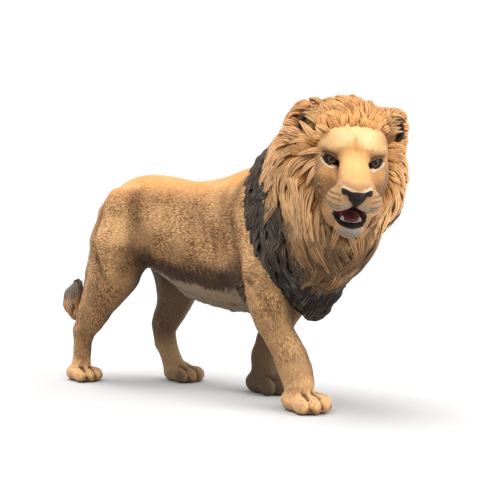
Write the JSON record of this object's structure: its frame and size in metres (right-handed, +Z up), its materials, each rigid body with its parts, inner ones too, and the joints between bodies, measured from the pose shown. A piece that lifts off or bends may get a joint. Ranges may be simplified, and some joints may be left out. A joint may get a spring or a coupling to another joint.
{
  "type": "moulded vinyl lion figure",
  "caption": "Painted moulded toy of a walking male lion: tan stippled hide, gold and dark brown mane, head turned to its right, mouth slightly open.",
  "frame": {"origin": "middle of the bounding box at floor level", "axes": "+X forward along the trunk, +Y to the lion's left, +Z up"},
  "size_m": [0.1114, 0.0408, 0.0759],
  "materials": {
    "hide": "tan vinyl, satin paint with a dark stippled wash over fine hair relief",
    "mane_gold": "golden brown painted locks, dark wash in the grooves",
    "mane_dark": "near-black brown painted locks",
    "tuft": "grey-brown painted hair",
    "eyes": "glossy amber iris with a black pupil",
    "nose": "semi-gloss black-brown",
    "teeth": "ivory paint",
    "tongue": "dark red paint"
  },
  "bodies": {
    "root": {"ear_left": "hide", "ear_right": "hide", "eye_left": "eyes", "eye_right": "eyes", "fore_leg_left": "hide", "fore_leg_right": "hide", "fore_paw_left": "hide", "fore_paw_right": "hide", "head": "hide", "hind_leg_left": "hide", "hind_leg_right": "hide", "hind_paw_left": "hide", "hind_paw_right": "hide", "lower_teeth": "teeth", "mane_cape": "mane_dark", "mane_ruff": "mane_gold", "neck": "hide", "nose": "nose", "tail": "hide", "tail_tuft": "tuft", "tongue": "tongue", "trunk": "hide"}
  },
  "joints": []
}
